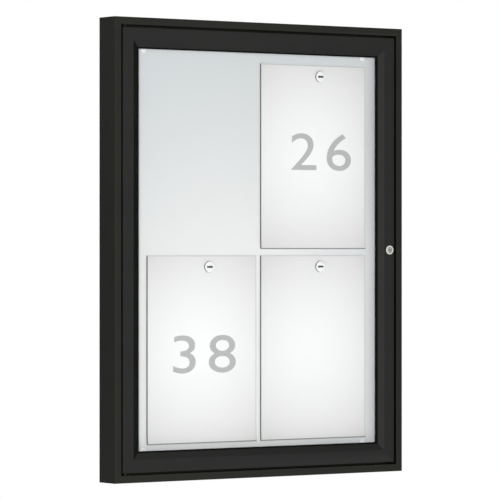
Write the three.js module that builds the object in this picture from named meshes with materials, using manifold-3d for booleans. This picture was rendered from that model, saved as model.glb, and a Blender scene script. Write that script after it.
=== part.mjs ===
// A lockable wall notice board for four upright A4 sheets: a mitred aluminium casing with an
// enamelled steel panel, and a glazed door that swings on two pivot pins and shuts with a cam lock.
// Millimetres. +X is to the right, +Y is towards the wall, +Z is up. The origin is the middle of the
// wall side. Sections are drawn as [inward, back] pairs: the distance inward from the casing's outer
// face, and the distance back from the front of its rim.
import * as THREE from 'three';
import { mergeVertices } from 'three/addons/utils/BufferGeometryUtils.js';
import Module from 'manifold-3d';

// Depth from the front of the rim to the wall. Width and height follow from the notices
const boardDepth = 45;

// Notices in two columns and two rows, and the bare panel round them inside the door frame
const sheetWidth = 210;
const sheetHeight = 297;
const sheetThickness = 0.4;
const columnGap = 7.5;
const rowGap = 10.3;
const marginLeft = 26;
const marginRight = 9.5;
const marginTop = 15.5;
const marginBottom = 8.2;
const magnetRadius = 9;
const magnetThickness = 3;
const magnetEdgeRound = 0.8;
const magnetDrop = 18;
const magnetShift = 10;

// Clearances, and the overrun of a cutter past the wall that it cuts
const seatGap = 0.3;
const runningGap = 0.2;
const cutOverrun = 2;

// Casing extrusion: a hollow rim in front, a flange that holds the panel, a lip for the rear cover
const casingWall = 1.8;
const rimWidth = 12;
const rimDepth = 15;
const flangeSetback = 20;
const lipReach = 10;
const casingCleatLeg = 45;

// Panel, rear cover and the cover's screws
const panelThickness = 1;
const coverThickness = 1.2;
const screwInset = 6;
const screwHeadRadius = 3.2;
const screwShankRadius = 1.5;
const screwLength = 10;
const screwRecessRadius = 1.2;
const screwRecessDepth = 0.7;
const stileScrewShares = [-0.3, 0.3];

// Wall fixings at the panel's corners, level with the top and bottom edges of the door's opening
const fixingFromOpening = 17.5;
const fixingHoleRadius = 3.5;
const sleeveWall = 1.5;
const capRadius = 5;
const capThickness = 1.2;
const capEdgeRound = 0.5;
const capStemLength = 8;

// Door extrusion: a hollow box, and a bevelled lip that holds the glass
const doorGap = 3.5;
const doorRecess = 1.5;
const doorWall = 1.6;
const doorBoxWidth = 20;
const doorThickness = 14;
const bevelWidth = 10.5;
const bevelDrop = 4;
const lipThickness = 1.7;
const doorCleatLeg = 50;

// Glass, its gaskets and beads, and the seal that the door shuts on
const glassThickness = 4;
const glassEdgeGap = 1.5;
const gasketStrip = 0.5;
const gasketNoseWidth = 2.5;
const gasketNoseDrop = 1;
const gasketInset = 2.5;
const rearGasketThickness = 0.6;
const beadClipThickness = 0.9;
const beadClipLength = 4.5;
const sealWidth = 4;
const sealOverlap = 2.5;
const flangePastSeal = 1;

// Pivot hinge at the left
const pivotOffset = 8;
const pinRadius = 2;
const pinInCasing = 8;
const pinInDoor = 12.5;
const bushWall = 1.3;
const bushLength = 14;
const washerRadius = 4.5;

// Cam lock at the right
const lockOffset = 9.5;
const lockFlangeRadius = 7.5;
const lockFlangeThickness = 1;
const lockFlangeChamfer = 0.4;
const barrelRadius = 6;
const plugRadius = 4.5;
const plugRecess = 0.4;
const keywayWidth = 1.2;
const keywayLength = 6;
const keywayDepth = 7;
const spigotWidth = 5.6;
const retainerHeight = 24;
const retainerThickness = 3;
const camThickness = 2;
const camWidth = 14;
const camReach = 20;
const camScrewHeadRadius = 4;
const camScrewHeadThickness = 1.4;
const camScrewShankRadius = 1.5;
const camScrewLength = 8;

// Numbers of facets
const roundFacets = 24;
const smallFacets = 16;
const arcFacets = 4;

// Places worked out from the sizes above, as distances inward (edge, end) and back (face, rear)
const frontY = -boardDepth;
const chamberEdge = casingWall + seatGap;
const coverFace = boardDepth - coverThickness;
const lipRear = coverFace - seatGap;
const lipFace = lipRear - casingWall;
const flangeRear = flangeSetback + casingWall;
const panelFace = flangeRear + seatGap;
const panelRear = panelFace + panelThickness;
const backingFace = panelRear + seatGap;
const backingRear = lipFace - seatGap;
const doorEdge = rimWidth + doorGap;
const doorBoxEnd = doorEdge + doorBoxWidth;
const doorLipEnd = doorBoxEnd + bevelWidth;
const glazedEdge = doorLipEnd + gasketNoseWidth;
const sealEdge = doorBoxEnd - sealOverlap;
const sealEnd = sealEdge + sealWidth;
const flangeReach = sealEnd + flangePastSeal;
const boardWidth = 2 * (glazedEdge + sheetWidth) + marginLeft + columnGap + marginRight;
const boardHeight = 2 * (glazedEdge + sheetHeight) + marginBottom + rowGap + marginTop;
const doorRear = doorRecess + doorThickness;
const doorLipFace = doorRecess + bevelDrop;
const doorLipRear = doorLipFace + lipThickness;
const gasketFace = doorLipRear + seatGap;
const gasketRear = gasketFace + gasketStrip;
const glassFace = gasketRear + seatGap;
const glassRear = glassFace + glassThickness;
const glassEdge = doorBoxEnd + glassEdgeGap;
const rearGasketFace = glassRear + seatGap;
const rearGasketRear = rearGasketFace + rearGasketThickness;
const beadFace = rearGasketRear + seatGap;
const camFace = doorRear + seatGap;
const camRear = camFace + camThickness;
const pivotX = -boardWidth / 2 + doorEdge + pivotOffset;
const pivotBack = doorRecess + doorThickness / 2;
const lockX = boardWidth / 2 - doorEdge - lockOffset;

const latheAxis = new THREE.Vector3(0, 1, 0);
const backward = new THREE.Vector3(0, 1, 0);
const corners = {
  top_left: [-1, 1],
  top_right: [1, 1],
  bottom_left: [-1, -1],
  bottom_right: [1, -1],
};
const sides = {
  top: { start: [0, 0, boardHeight / 2], inward: [0, 0, -1], length: boardWidth },
  bottom: { start: [0, 0, -boardHeight / 2], inward: [0, 0, 1], length: boardWidth },
  left: { start: [-boardWidth / 2, 0, 0], inward: [1, 0, 0], length: boardHeight },
  right: { start: [boardWidth / 2, 0, 0], inward: [-1, 0, 0], length: boardHeight },
};
const railNames = { top: 'top_rail', bottom: 'bottom_rail', left: 'left_stile', right: 'right_stile' };

// Finishes
function finish(color, roughness, metalness) {
  return new THREE.MeshStandardMaterial({ color, roughness, metalness });
}
const coatedAluminium = finish(0x2e2e2b, 0.55, 0.2);
const castAluminium = finish(0x8f9296, 0.5, 0.8);
const enamelledSteel = finish(0xdfe3e4, 0.35, 0);
const boardWood = finish(0xb08d5f, 0.85, 0);
const galvanisedSteel = finish(0xa6acb0, 0.45, 0.8);
const blackRubber = finish(0x141414, 0.8, 0);
const whitePlastic = finish(0xf1f2f0, 0.4, 0);
const nylon = finish(0xd9d5c8, 0.5, 0);
const steel = finish(0xb9bcc0, 0.3, 0.9);
const chromedBrass = finish(0xcfd1d3, 0.2, 0.9);
const paper = finish(0xf2f3f3, 0.8, 0);
const clearGlass = new THREE.MeshStandardMaterial({
  color: 0xe8f2ee, roughness: 0.05, metalness: 0, transparent: true, opacity: 0.25,
});

// A place on the board: across, back from the front, and up
function place(x, back, z) {
  return new THREE.Vector3(x, frontY + back, z);
}

// An outline through [across, along] pairs
function outline(points) {
  return new THREE.Shape(points.map(([x, y]) => new THREE.Vector2(x, y)));
}

function rectangle(left, bottom, right, top) {
  return [[left, bottom], [right, bottom], [right, top], [left, top]];
}

// The points of an arc, both ends included
function arc(x, y, radius, from, to) {
  const points = [];
  for (let i = 0; i <= arcFacets; i += 1) {
    const angle = from + ((to - from) * i) / arcFacets;
    points.push([x + radius * Math.cos(angle), y + radius * Math.sin(angle)]);
  }
  return points;
}

// The same shape with shared corners, no empty triangles and its faces pointing out
function closedMesh(geometry) {
  const bare = geometry.clone();
  bare.deleteAttribute('normal');
  bare.deleteAttribute('uv');
  const merged = mergeVertices(bare);
  const corner = (i) => new THREE.Vector3().fromBufferAttribute(merged.getAttribute('position'), i);
  const triangles = [];
  let volume = 0;
  for (let i = 0; i < merged.index.count; i += 3) {
    const [a, b, c] = [0, 1, 2].map((k) => merged.index.getX(i + k));
    if (a !== b && b !== c && c !== a) {
      triangles.push([a, b, c]);
      volume += corner(a).dot(corner(b).cross(corner(c)));
    }
  }
  const facing = volume > 0 ? triangles : triangles.map(([a, b, c]) => [a, c, b]);
  merged.setIndex(facing.flat());
  return merged;
}

// Joins and cuts of closed shapes
const wasm = await Module();
wasm.setup();

function asSolid(geometry) {
  const mesh = closedMesh(geometry);
  return new wasm.Manifold(new wasm.Mesh({
    numProp: 3,
    vertProperties: mesh.getAttribute('position').array,
    triVerts: Uint32Array.from(mesh.index.array),
  }));
}

function asGeometry(solid) {
  const { vertProperties, triVerts } = solid.getMesh();
  const geometry = new THREE.BufferGeometry();
  geometry.setAttribute('position', new THREE.BufferAttribute(vertProperties, 3));
  geometry.setIndex(new THREE.BufferAttribute(triVerts, 1));
  return geometry;
}

function cut(geometry, cutters) {
  return asGeometry(cutters.reduce((solid, cutter) => solid.subtract(asSolid(cutter)), asSolid(geometry)));
}

function join(first, second) {
  return asGeometry(asSolid(first).add(asSolid(second)));
}

// A straight bar of one section along a side of the board, mitred at both ends
function mitredBar(section, sideName) {
  const { start, inward, length } = sides[sideName];
  const mitreGap = seatGap * Math.SQRT1_2;
  const bar = new THREE.ExtrudeGeometry(section, { depth: 1, bevelEnabled: false });
  const points = bar.getAttribute('position');
  for (let i = 0; i < points.count; i += 1) {
    const end = points.getZ(i) > 0 ? 1 : -1;
    points.setZ(i, end * (length / 2 - points.getX(i) - mitreGap));
  }
  const inwardAxis = new THREE.Vector3(...inward);
  const alongAxis = new THREE.Vector3().crossVectors(inwardAxis, backward);
  const turn = new THREE.Matrix4().makeBasis(inwardAxis, backward, alongAxis);
  return bar.applyMatrix4(turn.setPosition(start[0], frontY, start[2]));
}

// An endless loop of one section round the board: a ring of four sides, its corners moved out
function rectangularLoop(points) {
  const closed = [...points, points[0]];
  const profile = closed.map(([inward, back]) => new THREE.Vector2(boardWidth - inward, back));
  const loop = new THREE.LatheGeometry(profile, 4, Math.PI / 4);
  const position = loop.getAttribute('position');
  for (let i = 0; i < position.count; i += 1) {
    const [inward, back] = closed[i % closed.length];
    const x = Math.sign(position.getX(i)) * (boardWidth / 2 - inward);
    const z = Math.sign(position.getZ(i)) * (boardHeight / 2 - inward);
    position.setXYZ(i, x, frontY + back, z);
  }
  return loop;
}

// A flat plate parallel to the wall, from one distance back to another
function plate(points, face, rear, holes = []) {
  const shape = outline(points);
  shape.holes = holes.map(outline);
  const sheet = new THREE.ExtrudeGeometry(shape, { depth: rear - face, bevelEnabled: false });
  return sheet.rotateX(Math.PI / 2).translate(0, frontY + rear, 0);
}

// A turned piece: [radius, distance] pairs along an axis, ending on the axis or closing on itself
function turned(points, origin, direction, facets = roundFacets) {
  const solidInside = points[0][0] === 0;
  const closed = solidInside ? points : [...points, points[0]];
  const profile = closed.map(([radius, distance]) => new THREE.Vector2(radius, distance));
  const piece = new THREE.LatheGeometry(profile, facets);
  piece.applyQuaternion(new THREE.Quaternion().setFromUnitVectors(latheAxis, direction));
  return piece.translate(origin.x, origin.y, origin.z);
}

// A round rod between two points, also the cutter for a round hole
function rod(radius, from, to, facets = roundFacets) {
  const axis = new THREE.Vector3().subVectors(to, from);
  const length = axis.length();
  return turned([[0, 0], [radius, 0], [radius, length], [0, length]], from, axis.normalize(), facets);
}

function tube(inner, outer, from, to) {
  const axis = new THREE.Vector3().subVectors(to, from);
  const length = axis.length();
  const wall = [[inner, 0], [outer, 0], [outer, length], [inner, length]];
  return turned(wall, from, axis.normalize());
}

const model = new THREE.Group();

function add(name, geometry, material) {
  const mesh = new THREE.Mesh(closedMesh(geometry), material);
  mesh.name = name;
  model.add(mesh);
}

// Both ends of the hinge axis: the casing's outer edge there, and the way from it to the middle
const hingeEnds = {
  top: { edge: boardHeight / 2, inward: -1 },
  bottom: { edge: -boardHeight / 2, inward: 1 },
};

function onHinge(end, inward) {
  const { edge, inward: way } = hingeEnds[end];
  return place(pivotX, pivotBack, edge + way * inward);
}

// Where the wall fixings and the rear cover's screws sit, as [across, up]
const fixings = Object.entries(corners).map(([corner, [right, above]]) => ({
  corner,
  x: right * (boardWidth / 2 - glazedEdge - fixingFromOpening),
  z: above * (boardHeight / 2 - glazedEdge),
}));
const stileScrews = [-1, 1].flatMap((right) => stileScrewShares.map((share) => ({
  side: right < 0 ? 'left' : 'right',
  x: right * (boardWidth / 2 - screwInset),
  z: share * boardHeight,
})));
const railScrews = ['top', 'bottom'].map((side) => ({
  side,
  x: 0,
  z: Math.sign(sides[side].start[2]) * (boardHeight / 2 - screwInset),
}));
const coverScrews = [...stileScrews, ...railScrews];

function screwHole(screw) {
  const from = place(screw.x, boardDepth - screwLength - seatGap, screw.z);
  return rod(screwShankRadius + seatGap, from, place(screw.x, boardDepth + cutOverrun, screw.z), smallFacets);
}

// Casing: four rails of one hollow extrusion, mitred at the corners
const casingSection = outline([
  [0, 0],
  [rimWidth, 0],
  [rimWidth, rimDepth],
  [casingWall, rimDepth],
  [casingWall, flangeSetback],
  [flangeReach, flangeSetback],
  [flangeReach, flangeRear],
  [casingWall, flangeRear],
  [casingWall, lipFace],
  [lipReach, lipFace],
  [lipReach, lipRear],
  [casingWall, lipRear],
  [casingWall, boardDepth],
  [0, boardDepth],
]);
const rimChamberEnd = rimWidth - casingWall;
const rimChamberRear = rimDepth - casingWall;
casingSection.holes = [outline(rectangle(casingWall, casingWall, rimChamberEnd, rimChamberRear))];

for (const side of Object.keys(sides)) {
  const cutters = coverScrews.filter((screw) => screw.side === side).map(screwHole);
  if (side in hingeEnds) {
    const from = onHinge(side, rimChamberEnd - cutOverrun);
    cutters.push(rod(pinRadius + runningGap, from, onHinge(side, rimWidth + cutOverrun), smallFacets));
  }
  add(`casing_${railNames[side]}`, cut(mitredBar(casingSection, side), cutters), coatedAluminium);
}

// An L-shaped corner cleat that fills the chambers of the two rails it joins
function cornerCleat(corner, edge, end, leg, face, rear) {
  const [right, above] = corners[corner];
  const across = (inward) => right * (boardWidth / 2 - inward);
  const upward = (inward) => above * (boardHeight / 2 - inward);
  const points = [[edge, edge], [leg, edge], [leg, end], [end, end], [end, leg], [edge, leg]];
  return plate(points.map(([x, z]) => [across(x), upward(z)]), face, rear);
}

const casingCleatEnd = rimChamberEnd - seatGap;
const casingCleatRear = rimChamberRear - seatGap;
for (const [corner, [right, above]] of Object.entries(corners)) {
  let cleat = cornerCleat(corner, chamberEdge, casingCleatEnd, casingCleatLeg, chamberEdge, casingCleatRear);
  if (right < 0) {
    const end = above > 0 ? 'top' : 'bottom';
    const from = onHinge(end, rimWidth - pinInCasing - seatGap);
    cleat = cut(cleat, [rod(pinRadius + runningGap, from, onHinge(end, rimWidth), smallFacets)]);
  }
  add(`casing_cleat_${corner}`, cleat, castAluminium);
}

// Panel of enamelled steel, backing board and rear cover, dropped into the casing as it is closed
const insideWidth = boardWidth / 2 - chamberEdge;
const insideHeight = boardHeight / 2 - chamberEdge;
const insideOutline = rectangle(-insideWidth, -insideHeight, insideWidth, insideHeight);

function fixingHole(fixing, radius) {
  return rod(radius, place(fixing.x, panelFace - cutOverrun, fixing.z),
    place(fixing.x, boardDepth + cutOverrun, fixing.z));
}

const panelHoles = fixings.map((fixing) => fixingHole(fixing, fixingHoleRadius));
add('magnetic_panel', cut(plate(insideOutline, panelFace, panelRear), panelHoles), enamelledSteel);

const sleeveRadius = fixingHoleRadius + sleeveWall;
const backingHoles = fixings.map((fixing) => fixingHole(fixing, sleeveRadius + seatGap));
const backingCuts = [...backingHoles, ...coverScrews.map(screwHole)];
add('backing_board', cut(plate(insideOutline, backingFace, backingRear), backingCuts), boardWood);

function countersink(screw) {
  const profile = [
    [0, -cutOverrun],
    [screwShankRadius + seatGap, -cutOverrun],
    [screwShankRadius + seatGap, 0],
    [screwHeadRadius + seatGap, coverThickness],
    [screwHeadRadius + seatGap, coverThickness + cutOverrun],
    [0, coverThickness + cutOverrun],
  ];
  return turned(profile, place(screw.x, coverFace, screw.z), backward, smallFacets);
}

const coverHoles = fixings.map((fixing) => fixingHole(fixing, fixingHoleRadius));
const coverCuts = [...coverHoles, ...coverScrews.map(countersink)];
add('rear_cover', cut(plate(insideOutline, coverFace, boardDepth), coverCuts), galvanisedSteel);

// Countersunk screws that hold the rear cover on the casing's lip
coverScrews.forEach((screw, index) => {
  const profile = [
    [0, boardDepth - screwLength],
    [screwShankRadius, boardDepth - screwLength],
    [screwShankRadius, coverFace],
    [screwHeadRadius, boardDepth],
    [screwRecessRadius, boardDepth],
    [screwRecessRadius, boardDepth - screwRecessDepth],
    [0, boardDepth - screwRecessDepth],
  ];
  const turnedScrew = turned(profile, place(screw.x, 0, screw.z), backward, smallFacets);
  add(`rear_cover_screw_${index + 1}`, turnedScrew, steel);
});

// Spacer sleeves for the wall screws, and the white caps that close them
for (const { corner, x, z } of fixings) {
  const sleeve = tube(fixingHoleRadius, sleeveRadius, place(x, backingFace, z), place(x, lipRear, z));
  add(`wall_fixing_sleeve_${corner}`, sleeve, steel);
  const capRear = panelFace - seatGap;
  const capFace = capRear - capThickness;
  const stemRadius = fixingHoleRadius - seatGap;
  const cap = [
    [0, capFace],
    ...arc(capRadius - capEdgeRound, capFace + capEdgeRound, capEdgeRound, -Math.PI / 2, 0),
    [capRadius, capRear],
    [stemRadius, capRear],
    [stemRadius, capRear + capStemLength],
    [0, capRear + capStemLength],
  ];
  add(`wall_fixing_cap_${corner}`, turned(cap, place(x, 0, z), backward), whitePlastic);
}

// Rubber seal on the flange, which the back of the door presses on
const sealFace = doorRear + seatGap;
const sealRear = flangeSetback - seatGap;
const sealRound = sealWidth / 2;
add('door_seal', rectangularLoop([
  [sealEnd, sealRear],
  [sealEdge, sealRear],
  ...arc(sealEdge + sealRound, sealFace + sealRound, sealRound, Math.PI, 2 * Math.PI),
]), blackRubber);

// Door: four rails of one hollow extrusion with a bevelled glazing lip, mitred at the corners
const doorSection = outline([
  [doorEdge, doorRecess],
  [doorBoxEnd, doorRecess],
  [doorLipEnd, doorLipFace],
  [doorLipEnd, doorLipRear],
  [doorBoxEnd, doorRecess + lipThickness],
  [doorBoxEnd, doorRear],
  [doorEdge, doorRear],
]);
const doorChamberEdge = doorEdge + doorWall;
const doorChamberEnd = doorBoxEnd - doorWall;
const doorChamberFace = doorRecess + doorWall;
const doorChamberRear = doorRear - doorWall;
doorSection.holes = [outline(rectangle(doorChamberEdge, doorChamberFace, doorChamberEnd, doorChamberRear))];

const bushBore = pinRadius + runningGap;
const bushRadius = bushBore + bushWall;
const lockHole = rod(barrelRadius + seatGap, place(lockX, doorRecess - cutOverrun, 0),
  place(lockX, doorRear + cutOverrun, 0));
for (const side of Object.keys(sides)) {
  const cutters = [];
  if (side in hingeEnds) {
    const from = onHinge(side, doorEdge - cutOverrun);
    cutters.push(rod(bushRadius + seatGap, from, onHinge(side, doorChamberEdge + cutOverrun)));
  }
  if (side === 'right') {
    cutters.push(lockHole);
  }
  add(`door_${railNames[side]}`, cut(mitredBar(doorSection, side), cutters), coatedAluminium);
}

const doorCleatEdge = doorChamberEdge + seatGap;
const doorCleatEnd = doorChamberEnd - seatGap;
const doorCleatFace = doorChamberFace + seatGap;
const doorCleatRear = doorChamberRear - seatGap;
for (const [corner, [right, above]] of Object.entries(corners)) {
  const leg = doorEdge + doorCleatLeg;
  let cleat = cornerCleat(corner, doorCleatEdge, doorCleatEnd, leg, doorCleatFace, doorCleatRear);
  if (right < 0) {
    const end = above > 0 ? 'top' : 'bottom';
    const to = onHinge(end, doorEdge + bushLength + seatGap);
    cleat = cut(cleat, [rod(bushRadius + seatGap, onHinge(end, doorEdge), to)]);
  }
  add(`door_cleat_${corner}`, cleat, castAluminium);
}

// Glass, held between two gaskets by beads that clip into the door frame from behind
const glassWidth = boardWidth / 2 - glassEdge;
const glassHeight = boardHeight / 2 - glassEdge;
const glassOutline = rectangle(-glassWidth, -glassHeight, glassWidth, glassHeight);
add('glass_pane', plate(glassOutline, glassFace, glassRear), clearGlass);

const gasketEdge = doorBoxEnd + gasketInset;
const gasketNoseEdge = doorLipEnd + seatGap;
add('glass_front_gasket', rectangularLoop([
  [gasketNoseEdge, doorLipFace + seatGap],
  [glazedEdge, doorLipFace + gasketNoseDrop + seatGap],
  [glazedEdge, gasketRear],
  [gasketEdge, gasketRear],
  [gasketEdge, gasketFace],
  [gasketNoseEdge, gasketFace],
]), blackRubber);
const rearGasketSection = rectangle(gasketEdge, rearGasketFace, doorLipEnd, rearGasketRear);
add('glass_rear_gasket', rectangularLoop(rearGasketSection), blackRubber);

const beadEdge = doorBoxEnd + seatGap;
const beadClipEnd = beadEdge + beadClipThickness;
const beadSection = outline([
  [beadEdge, beadFace - beadClipLength],
  [beadClipEnd, beadFace - beadClipLength],
  [beadClipEnd, beadFace],
  [doorLipEnd, beadFace],
  [doorLipEnd, doorRear],
  [beadEdge, doorRear],
]);
for (const side of Object.keys(sides)) {
  add(`glazing_bead_${side}`, mitredBar(beadSection, side), coatedAluminium);
}

// Pivot hinge: pins fixed in the casing's cleats turn in bushes in the door's cleats
for (const end of Object.keys(hingeEnds)) {
  const pin = rod(pinRadius, onHinge(end, rimWidth - pinInCasing), onHinge(end, doorEdge + pinInDoor));
  add(`pivot_pin_${end}`, pin, steel);
  const bush = tube(bushBore, bushRadius, onHinge(end, doorEdge), onHinge(end, doorEdge + bushLength));
  add(`pivot_bush_${end}`, bush, nylon);
  const washerEnds = [onHinge(end, rimWidth + seatGap), onHinge(end, doorEdge - seatGap)];
  add(`pivot_washer_${end}`, tube(bushBore, washerRadius, ...washerEnds), nylon);
}

// Cam lock: the barrel is screwed through the stile into a threaded plate inside it
const lockFlangeRear = doorRecess - seatGap;
const lockFace = lockFlangeRear - lockFlangeThickness;
const plugBore = plugRadius + runningGap;
add('lock_barrel', turned([
  [plugBore, lockFace],
  [lockFlangeRadius - lockFlangeChamfer, lockFace],
  [lockFlangeRadius, lockFace + lockFlangeChamfer],
  [lockFlangeRadius, lockFlangeRear],
  [barrelRadius, lockFlangeRear],
  [barrelRadius, doorRear],
  [plugBore, doorRear],
], place(lockX, 0, 0), backward), chromedBrass);

const retainerEdge = boardWidth / 2 - doorCleatEdge;
const retainerEnd = boardWidth / 2 - doorCleatEnd;
const retainerOutline = rectangle(retainerEnd, -retainerHeight / 2, retainerEdge, retainerHeight / 2);
const retainer = plate(retainerOutline, doorCleatFace, doorCleatFace + retainerThickness);
add('lock_retaining_plate', cut(retainer, [lockHole]), steel);

function block(width, height, from, to) {
  const middle = place(lockX, (from + to) / 2, 0);
  return new THREE.BoxGeometry(width, to - from, height).translate(middle.x, middle.y, middle.z);
}

const plugFace = lockFace + plugRecess;
const plugBody = rod(plugRadius, place(lockX, plugFace, 0), place(lockX, doorRear, 0));
const spigot = block(spigotWidth, spigotWidth, doorRear - cutOverrun, camRear);
const keyway = block(keywayLength, keywayWidth, plugFace - cutOverrun, plugFace + keywayDepth);
const camScrewHole = rod(camScrewShankRadius + seatGap,
  place(lockX, camRear - camScrewLength - seatGap, 0), place(lockX, camRear + cutOverrun, 0), smallFacets);
add('lock_plug', cut(join(plugBody, spigot), [keyway, camScrewHole]), chromedBrass);

// The cam points down when the lock is open, and swings out behind the rim to lock
const camRound = camWidth / 2;
const camTipRound = camWidth / 4;
const camTip = camTipRound - camReach;
const camOutline = [
  ...arc(lockX, 0, camRound, 0, Math.PI),
  ...arc(lockX - camRound + camTipRound, camTip, camTipRound, Math.PI, 1.5 * Math.PI),
  ...arc(lockX + camRound - camTipRound, camTip, camTipRound, 1.5 * Math.PI, 2 * Math.PI),
];
const camHole = spigotWidth / 2 + seatGap;
const camHoleOutline = rectangle(lockX - camHole, -camHole, lockX + camHole, camHole);
add('lock_cam', plate(camOutline, camFace, camRear, [camHoleOutline]), galvanisedSteel);

const camScrewFace = camRear + seatGap;
add('lock_cam_screw', turned([
  [0, camRear - camScrewLength],
  [camScrewShankRadius, camRear - camScrewLength],
  [camScrewShankRadius, camScrewFace],
  [camScrewHeadRadius, camScrewFace],
  [camScrewHeadRadius, camScrewFace + camScrewHeadThickness],
  [0, camScrewFace + camScrewHeadThickness],
], place(lockX, 0, 0), backward), steel);

// Three A4 notices, one place left free, each held by a round magnet
const sheetRear = panelFace - seatGap;
const sheetFace = sheetRear - sheetThickness;
const magnetRear = sheetFace - seatGap;
const magnetFace = magnetRear - magnetThickness;
const leftColumn = glazedEdge - boardWidth / 2 + marginLeft;
const rightColumn = leftColumn + sheetWidth + columnGap;
const lowerRow = glazedEdge - boardHeight / 2 + marginBottom;
const upperRow = lowerRow + sheetHeight + rowGap;
const notices = {
  upper_right: [rightColumn, upperRow],
  lower_left: [leftColumn, lowerRow],
  lower_right: [rightColumn, lowerRow],
};
for (const [name, [left, bottom]] of Object.entries(notices)) {
  const sheet = rectangle(left, bottom, left + sheetWidth, bottom + sheetHeight);
  add(`notice_sheet_${name}`, plate(sheet, sheetFace, sheetRear), paper);
  const magnet = [
    [0, magnetFace],
    ...arc(magnetRadius - magnetEdgeRound, magnetFace + magnetEdgeRound, magnetEdgeRound, -Math.PI / 2, 0),
    [magnetRadius, magnetRear],
    [0, magnetRear],
  ];
  const middle = place(left + sheetWidth / 2 + magnetShift, 0, bottom + sheetHeight - magnetDrop);
  add(`notice_magnet_${name}`, turned(magnet, middle, backward), whitePlastic);
}

export default model;
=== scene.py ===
import math

import bmesh
import bpy
from mathutils import Matrix, Vector


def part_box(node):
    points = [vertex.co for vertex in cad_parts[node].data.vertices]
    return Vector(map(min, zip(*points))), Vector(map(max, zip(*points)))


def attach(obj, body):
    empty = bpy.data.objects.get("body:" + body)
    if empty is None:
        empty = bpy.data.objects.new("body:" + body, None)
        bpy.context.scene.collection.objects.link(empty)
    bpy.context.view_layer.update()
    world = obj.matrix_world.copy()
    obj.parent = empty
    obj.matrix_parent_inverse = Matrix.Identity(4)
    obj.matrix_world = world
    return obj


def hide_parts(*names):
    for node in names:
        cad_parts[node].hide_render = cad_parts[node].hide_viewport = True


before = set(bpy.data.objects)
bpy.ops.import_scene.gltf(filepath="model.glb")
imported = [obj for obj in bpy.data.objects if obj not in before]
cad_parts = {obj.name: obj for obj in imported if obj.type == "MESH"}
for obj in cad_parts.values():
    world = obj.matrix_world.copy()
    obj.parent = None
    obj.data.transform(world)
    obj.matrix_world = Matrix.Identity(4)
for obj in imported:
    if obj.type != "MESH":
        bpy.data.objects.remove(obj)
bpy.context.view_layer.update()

# Camera: level with the middle of the board, in front of it and to the left, and far enough off
# that the far side of the frame draws together only a little. The uprights stay upright.
sensor_mm = 36.0
lens_mm = 253.2
camera_place = (-3.232, -4.629, 0.0)
camera_tilt = math.radians(90.0)
camera_turn = math.radians(-34.98)
camera_data = bpy.data.cameras.new("camera")
camera_data.sensor_width = sensor_mm
camera_data.lens = lens_mm
camera = bpy.data.objects.new("camera", camera_data)
camera.location = camera_place
camera.rotation_euler = (camera_tilt, 0.0, camera_turn)
bpy.context.scene.collection.objects.link(camera)
bpy.context.scene.camera = camera
bpy.context.scene.view_settings.view_transform = "Standard"


# Studio: a white surround that the camera, metal and glass all see, a pale floor far below the
# board, which hangs at eye level, dark cards that shade its gloss, and soft lamps. A camera under
# the floor looks through it.
def linear(code, alpha=1.0):
    """An sRGB hex colour as the linear colour that shaders take."""
    shares = [int(code[i:i + 2], 16) / 255.0 for i in (0, 2, 4)]
    bent = [s / 12.92 if s <= 0.04045 else ((s + 0.055) / 1.055) ** 2.4 for s in shares]
    return (*bent, alpha)


def add_node(tree, kind, settings=None, links=None):
    """Adds a node. Settings are its properties or input values, and links are the outputs that
    feed its inputs."""
    node = tree.nodes.new(kind)
    for name, value in (settings or {}).items():
        if isinstance(name, str) and hasattr(node, name):
            setattr(node, name, value)
        else:
            node.inputs[name].default_value = value
    for name, output in (links or {}).items():
        tree.links.new(output, node.inputs[name])
    return node


def empty_material(name):
    """A new material, its empty node tree, and the Object coordinates of whatever wears it."""
    material = bpy.data.materials.new(name)
    material.use_nodes = True
    material.node_tree.nodes.clear()
    coords = add_node(material.node_tree, "ShaderNodeTexCoord").outputs["Object"]
    return material, material.node_tree, coords


def stage_card(name, width, height, place, target, material):
    """A flat studio card that faces a point and isn't part of the board."""
    bm = bmesh.new()
    bmesh.ops.create_grid(bm, x_segments=1, y_segments=1, size=0.5)
    bmesh.ops.scale(bm, verts=bm.verts[:], vec=(width, height, 1.0))
    facing = (Vector(target) - Vector(place)).to_track_quat("Z", "Y").to_matrix().to_4x4()
    bmesh.ops.transform(bm, matrix=Matrix.Translation(place) @ facing, verts=bm.verts[:])
    mesh = bpy.data.meshes.new(name)
    bm.to_mesh(mesh)
    bm.free()
    mesh.materials.append(material)
    card = bpy.data.objects.new(name, mesh)
    bpy.context.scene.collection.objects.link(card)
    return card


def soft_lamp(name, side, watts, place, target):
    """A square studio lamp that faces a point. The camera and the glass don't show it."""
    data = bpy.data.lights.new(name, "AREA")
    data.shape = "SQUARE"
    data.size = side
    data.energy = watts
    lamp = bpy.data.objects.new(name, data)
    lamp.location = place
    lamp.rotation_euler = (Vector(target) - Vector(place)).to_track_quat("-Z", "Y").to_euler()
    lamp.visible_camera = False
    lamp.visible_transmission = False
    bpy.context.scene.collection.objects.link(lamp)
    return lamp


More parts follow.
